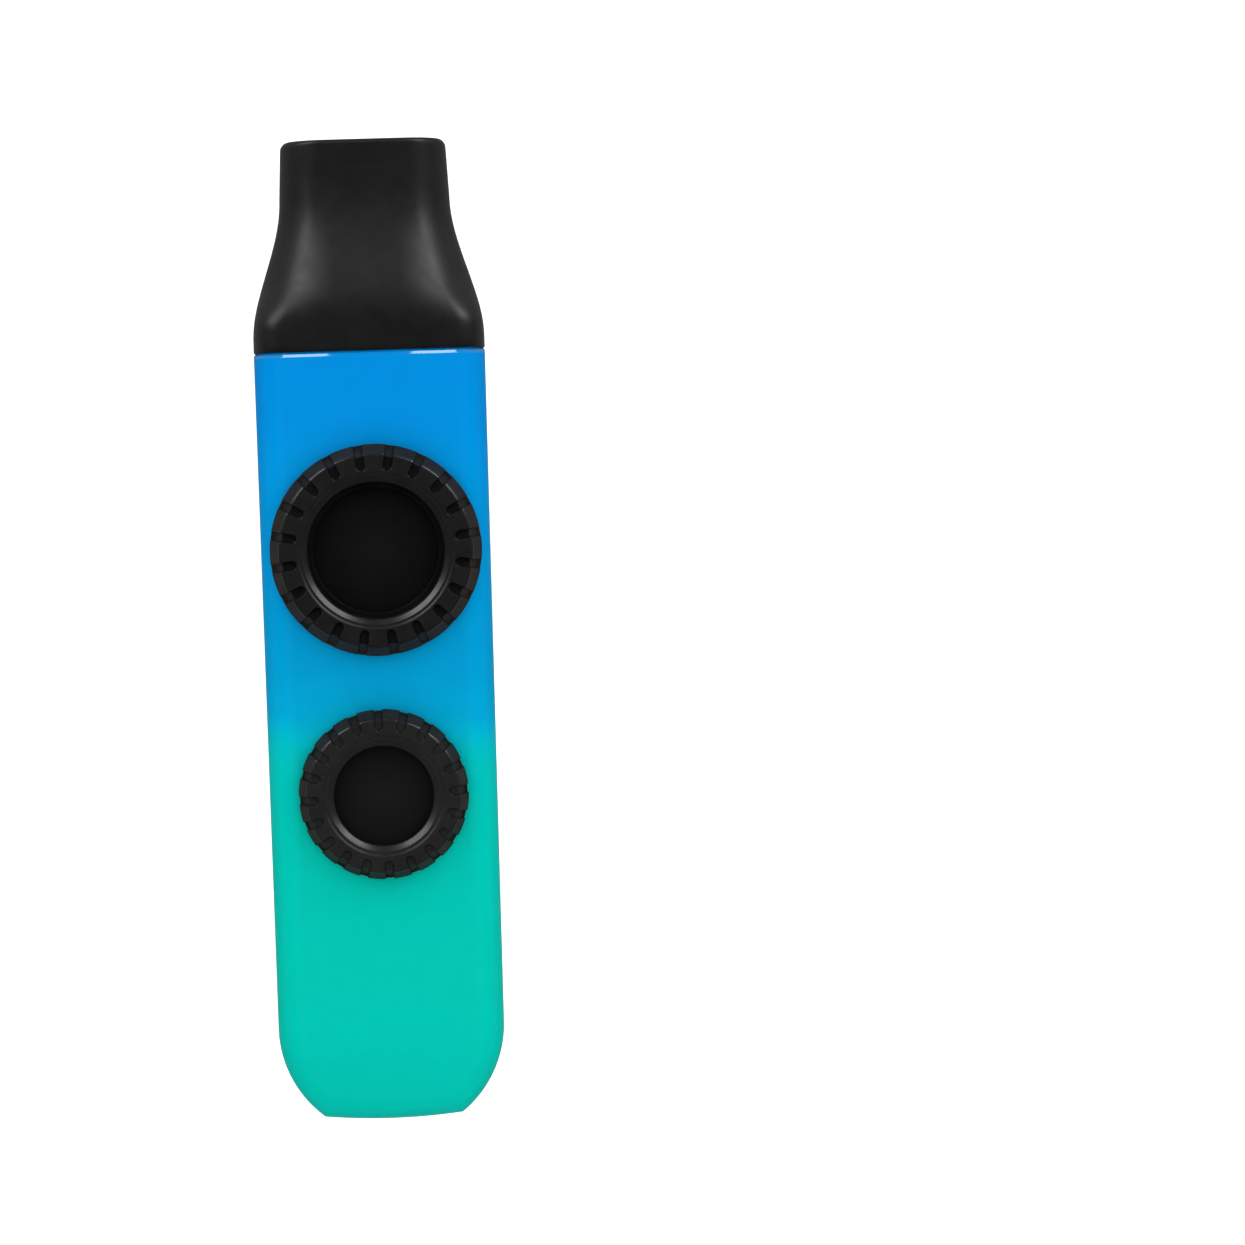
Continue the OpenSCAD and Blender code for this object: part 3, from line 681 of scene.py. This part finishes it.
def collar(name, r):
    """A flange on the body, a tube through its wall, and a neck with a raised thread."""
    outer = r["bore"] + COLLAR_WALL
    flange = r["ring"] - FLANGE_INSET
    bottom = -BODY_WALL - COLLAR_REACH
    neck_top = NECK_HEIGHT - COLLAR_BREAK
    bevel = COLLAR_BREAK * BREAK_MIDDLE
    profile = [
        (r["bore"], bottom + COLLAR_BREAK), (r["bore"], neck_top),
        (r["bore"] + COLLAR_BREAK, NECK_HEIGHT), (r["neck"] - COLLAR_BREAK, NECK_HEIGHT),
        (r["neck"], neck_top),
    ]
    neck_from = len(profile)
    for k in range(1, THREAD_ROWS + 1):
        profile.append((r["neck"], mix(neck_top, FLANGE_HEIGHT, k / THREAD_ROWS)))
    neck_to = len(profile) - 1
    profile += [
        (flange - COLLAR_BREAK, FLANGE_HEIGHT), (flange - bevel, FLANGE_HEIGHT - bevel),
        (flange, FLANGE_HEIGHT - COLLAR_BREAK), (flange, 0),
        (outer, 0), (outer, bottom + COLLAR_BREAK), (outer - COLLAR_BREAK, bottom),
        (r["bore"] + COLLAR_BREAK, bottom),
    ]
    rows = []
    for i, (radius, height) in enumerate(profile):
        row = []
        for k in range(COLLAR_COLUMNS):
            angle = 2 * pi * k / COLLAR_COLUMNS
            out = 0.0
            if neck_from <= i < neck_to:
                out = THREAD_HEIGHT * rib_share(
                    angle, height, COLLAR_THREAD_Z, COLLAR_TURNS, THREAD_ROOT, THREAD_CREST,
                )
            row.append(around(r, radius + out, angle, height))
        rows.append(row)
    return closed_skin(name, rows)


def slot_half(r, radius):
    return SLOT_WIDTH / 2 * interpolate(SLOT_ARCH, (radius - r["slot"]) / SLOT_WIDTH)


def sector_angles(r, radius):
    """Angles of the columns of one sector at a radius, measured from the middle of its slot."""
    half = max(slot_half(r, radius), LEAST_SLOT * SLOT_WIDTH / 2)
    angles = [asin(s * half / radius) for s in SLOT_COLUMNS]
    gap = 2 * pi / SLOT_COUNT - (angles[-1] - angles[0])
    return angles + [angles[-1] + gap * s for s in LAND_COLUMNS]


def slot_share(r, radius, angle):
    """1 inside the slot whose middle is at angle 0, 0 outside it, and soft over its edge."""
    along = radius * cos(angle)
    off = abs(radius * sin(angle))
    half = slot_half(r, along)
    nearby = 0.02 * MM
    slope = (slot_half(r, along + nearby) - slot_half(r, along - nearby)) / (2 * nearby)
    inside = (half - off) / sqrt(1 + slope * slope)
    end_half = SLOT_WIDTH / 2 * SLOT_ARCH[0][1]
    if along < r["slot"]:
        inside = -hypot(max(0, off - end_half), r["slot"] - along)
    elif off < end_half:
        inside = min(inside, along - r["slot"])
    return smooth((inside + SLOT_EDGE) / (2 * SLOT_EDGE))


def ring_outside(r):
    """Points of a tone ring's slotted outside with their directions outward, from the band up."""
    lean = atan2(r["ring"] - r["shoulder"], RING_TOP - BAND_TOP)
    wall = r["ring"] * cos(lean) + BAND_TOP * sin(lean)
    bend = SHOULDER_ROUND
    centre_z = RING_TOP - bend
    centre_r = (wall - bend - centre_z * sin(lean)) / cos(lean)
    points = []
    for share in WALL_ROWS:
        z = BAND_TOP + share * (centre_z + bend * sin(lean) - BAND_TOP)
        points.append(((wall - z * sin(lean)) / cos(lean), z, cos(lean), sin(lean)))
    for k in range(1, SHOULDER_ROWS + 1):
        angle = lean + (pi / 2 - lean) * k / SHOULDER_ROWS
        out_r = cos(angle)
        out_z = sin(angle)
        points.append((centre_r + bend * out_r, centre_z + bend * out_z, out_r, out_z))
    arch_start = r["slot"] + ARCH_START * SLOT_WIDTH
    for k in range(1, TOP_ROWS + 1):
        points.append((mix(centre_r, arch_start, k / TOP_ROWS), RING_TOP, 0, 1))
    for along in ARCH_ROWS:
        points.append((r["slot"] + along * SLOT_WIDTH, RING_TOP, 0, 1))
    return points


# Places among a tone ring's materials of the slots' black, darkened as painted shade, and of the
# wall's black, lightened as painted light
SLOT_MATERIAL = 1
WALL_MATERIAL = 2


def tone_ring(name, r):
    """A screwed ring: slotted outside, fine step, rounded lip, and a ribbed bore underneath."""
    rows = []
    recess = []
    wall = []

    def add_row(radius, height, out=(0, 1), deep=0.0, bore=False, on_wall=False):
        row = []
        angles = sector_angles(r, max(radius, r["slot"] - COLUMNS_REACH))
        for sector in range(SLOT_COUNT):
            middle = pi / 2 + r["turn"] + 2 * pi * sector / SLOT_COUNT
            for offset in angles:
                share = slot_share(r, radius, offset) if deep else 0.0
                angle = middle + offset
                inward = 0.0
                if bore:
                    inward = THREAD_HEIGHT * rib_share(
                        angle % (2 * pi), height, COLLAR_THREAD_Z + PITCH / 2, RING_TURNS,
                        RIB_ROOT, RIB_CREST,
                    )
                depth = deep * share
                row.append(around(
                    r, radius - depth * out[0] - inward, angle, height - depth * out[1],
                ))
                recess.append(share)
                wall.append(on_wall)
        rows.append(row)

    for radius, height in (
        (r["ring"] - SKIRT_EDGE, SKIRT_BASE), (r["ring"], SKIRT_BASE + SKIRT_EDGE),
        (r["ring"], mix(SKIRT_BASE, BAND_TOP, 0.5)), (r["ring"], BAND_TOP - SKIRT_EDGE / 2),
    ):
        add_row(radius, height, (1, 0), r["nick"], on_wall=True)
    for radius, height, out_r, out_z in ring_outside(r):
        add_row(radius, height, (out_r, out_z), SLOT_DEPTH, on_wall=out_z < WALL_UPWARD)
    # Down the fine step, over the lip and through the opening to the cap's underside
    top = RING_TOP - STEP_DEPTH
    step_out = r["step"] + STEP_DEPTH / tan(LIP_SLOPE)
    edge_drop = STEP_EDGE * tan(LIP_SLOPE)
    inner = [
        (step_out + STEP_EDGE, RING_TOP), (step_out - STEP_EDGE, RING_TOP - edge_drop),
        (r["step"] + STEP_EDGE, top + edge_drop), (r["step"] - STEP_EDGE, top),
    ]
    for k in range(LIP_TOP_ROWS + 1):
        angle = LIP_SLOPE * k / LIP_TOP_ROWS
        inner.append((r["lip"] - LIP_BEND * sin(angle), top - LIP_BEND * (1 - cos(angle))))
    low = top - LIP_BEND - (r["lip"] - r["opening"] - LIP_BEND) * tan(LIP_SLOPE)
    for k in range(LIP_LOW_ROWS + 1):
        angle = mix(LIP_SLOPE, pi / 2, k / LIP_LOW_ROWS)
        inner.append((r["opening"] + LIP_BEND * (1 - sin(angle)), low + LIP_BEND * cos(angle)))
    bore = r["neck"] + THREAD_HEIGHT + THREAD_CLEARANCE
    inner += [
        (r["opening"], CAP_UNDERSIDE + CAP_EDGE), (r["opening"] + CAP_EDGE, CAP_UNDERSIDE),
        (bore, CAP_UNDERSIDE),
    ]
    for radius, height in inner:
        add_row(radius, height)
    # Down the bore with its thread to the skirt's end
    for k in range(1, THREAD_ROWS):
        add_row(bore, mix(CAP_UNDERSIDE, SKIRT_BASE, k / THREAD_ROWS), bore=True)
    add_row(bore, SKIRT_BASE + BORE_EDGE_HEIGHT)
    add_row(bore + BORE_EDGE_WIDTH, SKIRT_BASE)
    ring = closed_skin(name, rows)
    # Wall faces get the lighter black of painted light, sunk slot faces the darker black of painted
    # shade
    for polygon in ring.data.polygons:
        if all(wall[v] for v in polygon.vertices):
            polygon.material_index = WALL_MATERIAL
        elif min(recess[v] for v in polygon.vertices) > SLOT_SHADE:
            polygon.material_index = SLOT_MATERIAL
    return ring


# Dressing the frame
FINE_GRAIN = {"grain_size": 0.09 * MM, "grain_depth": 0.0012 * MM}
SLOT_GRAIN = {"grain_size": 0.09 * MM, "grain_depth": 0.001 * MM}
PLAIN_GRAIN = {"grain_size": 0.12 * MM, "grain_depth": 0.001 * MM}

mouth_black = black_plastic(
    "mouth_black", tones=(0.003, 0.0042), roughness=0.42, level=0.45,
    grain_size=0.1 * MM, grain_depth=0.0012 * MM,
)
# The rings are one plastic: the small ring's lighter black is painted light, where more light falls
# on it.
ring_blacks = {
    "large": black_plastic("large_ring_black", tones=(0.0055, 0.007), roughness=0.31, **FINE_GRAIN),
    "small": black_plastic(
        "small_ring_black", tones=(0.009, 0.0108), roughness=0.31, level=0.45, **FINE_GRAIN,
    ),
}
# The slots' blacks are painted shade: darker than the tops they are cut into, the small ones less
# so.
shaded_slot_blacks = {
    "large": black_plastic(
        "large_slot_black", tones=(0.001, 0.0015), roughness=0.55, level=0.2, **SLOT_GRAIN,
    ),
    "small": black_plastic(
        "small_slot_black", tones=(0.0065, 0.009), roughness=0.5, level=0.27, **SLOT_GRAIN,
    ),
}
# The rings' walls: matt, and lighter and warmer than the tops as painted light; the warm tint
# offsets the blue they mirror from the body.
lit_wall_black = black_plastic(
    "lit_wall_black", tones=(0.018, 0.025), roughness=0.6, level=0.05, warmth=0.2,
    grain_size=0.12 * MM, grain_depth=0.0015 * MM,
)
collar_black = black_plastic("collar_black", tones=(0.006, 0.009), roughness=0.42, **PLAIN_GRAIN)
# The hoops are darkened as painted shade, where they sit deep in the opening.
shaded_hoop_black = black_plastic(
    "shaded_hoop_black", tones=(0.001, 0.002), roughness=0.5, level=0.12, **PLAIN_GRAIN,
)
slip_grey = matt_material(
    "slip_grey", dark=(0.07,) * 3, light=(0.09,) * 3, roughness=0.4, grain_size=0.2 * MM,
)
silicone_grey = matt_material(
    "silicone_grey", dark=(0.03, 0.03, 0.033), light=(0.04, 0.04, 0.044), roughness=0.6,
    grain_size=0.15 * MM,
)
# One film for both: the dark edges are painted shade, and the small film's lighter tone is painted
# light.
shaded_film_blacks = {
    "large": shaded_film_material("large_film_black", RESONATORS["large"], edge=0.001, middle=0.0035),
    "small": shaded_film_material("small_film_black", RESONATORS["small"], edge=0.003, middle=0.0058),
}


def dress(node, material):
    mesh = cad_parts[node].data
    mesh.materials.clear()
    mesh.materials.append(material)


def place(piece, materials, node, body, slot):
    for material in materials:
        piece.data.materials.append(material)
    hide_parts(node)
    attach(piece, body)


dress("body_shell", body_plastic())
dress("mouthpiece_seal", silicone_grey)
place(mouthpiece(), [mouth_black], "mouthpiece", "mouth_end", "black_plastic")
for size, r in RESONATORS.items():
    dress(size + "_gasket", silicone_grey)
    dress(size + "_membrane", shaded_film_blacks[size])
    dress(size + "_hoop", shaded_hoop_black)
    dress(size + "_washer", slip_grey)
    place(
        collar(size + "_threaded_collar", r), [collar_black],
        size + "_collar", "kazoo", "black_plastic",
    )
    place(
        tone_ring(size + "_slotted_ring", r), [ring_blacks[size], shaded_slot_blacks[size], lit_wall_black],
        size + "_tone_ring", size + "_ring", "ring_plastic",
    )

# Floor: white and evenly bright as seen, but dark in the light that it throws back
FLOOR_HALF = 4.0
FLOOR_WHITE = 0.82
FLOOR_GLOW = 0.7
FLOOR_DARK = 0.3
floor_mesh = bpy.data.meshes.new("floor")
floor_corners = [
    (-FLOOR_HALF, -FLOOR_HALF, 0), (FLOOR_HALF, -FLOOR_HALF, 0),
    (FLOOR_HALF, FLOOR_HALF, 0), (-FLOOR_HALF, FLOOR_HALF, 0),
]
floor_mesh.from_pydata(floor_corners, [], [(0, 1, 2, 3)])
floor = bpy.data.objects.new("floor", floor_mesh)
bpy.context.scene.collection.objects.link(floor)
floor_material = bpy.data.materials.new("floor_white")
floor_material.use_nodes = True
tree = floor_material.node_tree
tree.nodes.clear()
matt = add_node(tree, "ShaderNodeBsdfDiffuse", {"Color": (*(FLOOR_WHITE,) * 3, 1)})
glow = add_node(tree, "ShaderNodeEmission", {"Color": WHITE, "Strength": FLOOR_GLOW})
dark = add_node(tree, "ShaderNodeBsdfDiffuse", {"Color": (*(FLOOR_DARK,) * 3, 1)})
seen = add_node(tree, "ShaderNodeLightPath").outputs["Is Camera Ray"]
lit = add_node(tree, "ShaderNodeAddShader", {0: matt.outputs[0], 1: glow.outputs[0]})
whole = add_node(tree, "ShaderNodeMixShader", {0: seen, 1: dark.outputs[0], 2: lit.outputs[0]})
add_node(tree, "ShaderNodeOutputMaterial", {"Surface": whole.outputs[0]})
floor_mesh.materials.append(floor_material)

# Surroundings: pale as seen, and dim as a light, least so near the horizon. Glow is what shiny
# faces mirror, and fill is what lights the colours.
SKY_SEEN = 0.95
HORIZON_GLOW = 0.23
HORIZON_FILL = 2.75
ZENITH_GLOW = 0.03
# Heights, as the sine of the angle over the horizon, at which glow and fill have faded
GLOW_TOP = 0.55
FILL_TOP = 0.4
world = bpy.data.worlds.new("studio")
bpy.context.scene.world = world
world.use_nodes = True
tree = world.node_tree
tree.nodes.clear()
direction = add_node(tree, "ShaderNodeTexCoord").outputs["Generated"]
rise = add_node(tree, "ShaderNodeSeparateXYZ", {"Vector": direction}).outputs["Z"]
to_soft = add_node(tree, "ShaderNodeLightPath").outputs["Is Diffuse Ray"]
glow = spread(tree, rise, HORIZON_GLOW, ZENITH_GLOW, 0.0, GLOW_TOP)
fill = spread(tree, rise, HORIZON_FILL, ZENITH_GLOW, 0.0, FILL_TOP)
strength = spread(tree, to_soft, glow, fill, 0, 1)
dim = add_node(tree, "ShaderNodeBackground", {"Color": WHITE, "Strength": strength})
pale = add_node(tree, "ShaderNodeBackground", {"Color": WHITE, "Strength": SKY_SEEN})
seen = add_node(tree, "ShaderNodeLightPath").outputs["Is Camera Ray"]
whole = add_node(tree, "ShaderNodeMixShader", {0: seen, 1: dim.outputs[0], 2: pale.outputs[0]})
add_node(tree, "ShaderNodeOutputWorld", {"Surface": whole.outputs[0]})


# Lights: azimuth turns clockwise from the mouthpiece end, off_axis tilts down from straight above.
# The distance from the middle and the sides are in metres.
LIGHT_DISTANCE = 1.6


def soft_box(name, azimuth, off_axis, width, height, radiance, diffuse=True, glossy=True):
    turn = radians(azimuth)
    tilt = radians(off_axis)
    toward = Vector((sin(turn) * sin(tilt), cos(turn) * sin(tilt), cos(tilt)))
    data = bpy.data.lights.new(name, "AREA")
    data.shape = "RECTANGLE"
    data.size = width
    data.size_y = height
    data.energy = radiance * pi * width * height
    light = bpy.data.objects.new(name, data)
    light.location = toward * LIGHT_DISTANCE
    light.rotation_euler = toward.to_track_quat("Z", "Y").to_euler()
    light.visible_diffuse = diffuse
    light.visible_glossy = glossy
    bpy.context.scene.collection.objects.link(light)


# Two boxes beside the mouthpiece end draw the highlights, and broad fills light the colours
BOX = {"off_axis": 59, "width": 0.9, "height": 0.72, "diffuse": False}
SIDE_FILL = {"off_axis": 50, "width": 1.2, "height": 1.2, "glossy": False}
TOP_FILL = {"off_axis": 8, "width": 2.6, "height": 2.6, "glossy": False}
soft_box("left_box", azimuth=319, radiance=5.3, **BOX)
soft_box("right_box", azimuth=42, radiance=5.7, **BOX)
soft_box("left_fill", azimuth=322, radiance=1.05, **SIDE_FILL)
soft_box("right_fill", azimuth=40, radiance=1.4, **SIDE_FILL)
soft_box("top_fill", azimuth=180, radiance=1.9, **TOP_FILL)

# Camera: above the kazoo, which lies left of the frame's middle and leans a little in it
FRAME_PIXELS = 1245
METRES_PER_PIXEL = 0.12876 * MM
CAMERA_DISTANCE = 650 * MM
CAMERA_Y = 19 * MM
NEAREST = 10 * MM
SENSOR = 36
AIM_X = 31.39 * MM
AIM_Y = -0.3 * MM
LEAN = 0.0314
aim = Vector((AIM_X, AIM_Y, MIDDLE_Z))
eye = Vector((0, CAMERA_Y, MIDDLE_Z + CAMERA_DISTANCE))
back = (eye - aim).normalized()
up = Vector((LEAN, sqrt(1 - LEAN * LEAN), 0))
right = up.cross(back).normalized()
up = back.cross(right)
camera_data = bpy.data.cameras.new("camera")
camera_data.sensor_width = SENSOR
camera_data.lens = SENSOR * (eye - aim).length / (FRAME_PIXELS * METRES_PER_PIXEL)
camera_data.clip_start = NEAREST
camera = bpy.data.objects.new("camera", camera_data)
camera.matrix_world = Matrix((right, up, back)).transposed().to_4x4()
camera.location = eye
bpy.context.scene.collection.objects.link(camera)
bpy.context.scene.camera = camera
bpy.context.scene.view_settings.view_transform = "Standard"
